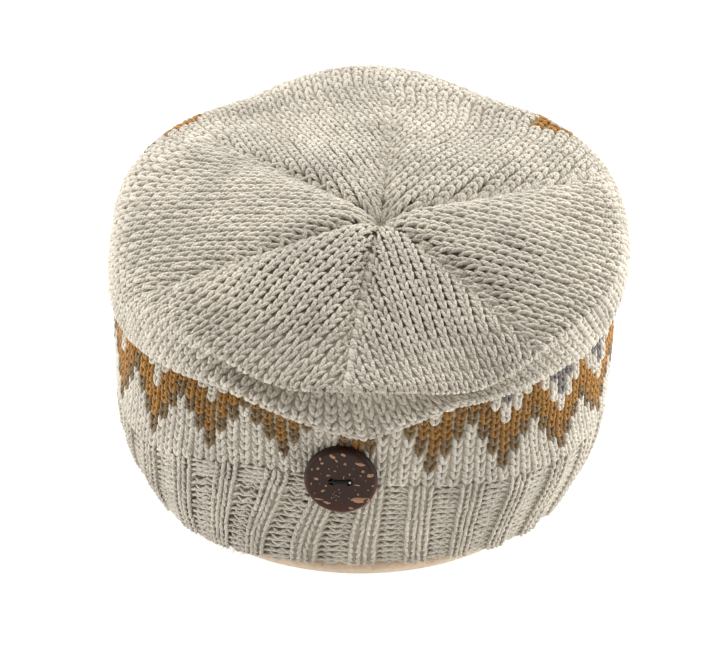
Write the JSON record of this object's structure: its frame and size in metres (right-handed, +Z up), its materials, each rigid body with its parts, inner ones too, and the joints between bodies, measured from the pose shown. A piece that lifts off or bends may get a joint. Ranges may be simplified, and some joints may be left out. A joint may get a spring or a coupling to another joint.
{
  "type": "slouch hat",
  "caption": "Hand knitted slouch hat with a ribbed band, a zigzag colour-work wall, a loose crown that folds out over it, and a two-hole button at the front.",
  "frame": {"origin": "on the floor under the middle of the hat's outline, with the hat lying on its opening", "axes": "+Z up, -Y towards the front with the button, +X to the right seen from the front"},
  "size_m": [0.1842, 0.2014, 0.1109],
  "materials": {
    "oatmeal_knit": "hand knitted wool, oatmeal, heathered",
    "colourwork_knit": "hand knitted wool in gold, taupe, charcoal and oatmeal",
    "fleece": "soft tan fleece",
    "coconut_shell": "dark brown, polished, with tan flecks",
    "thread": "black sewing thread"
  },
  "bodies": {
    "root": {"rib_band": "oatmeal_knit", "side_wall": "colourwork_knit", "crown": "oatmeal_knit", "lining_band": "fleece", "button": "coconut_shell", "button_thread": "thread"}
  },
  "joints": []
}
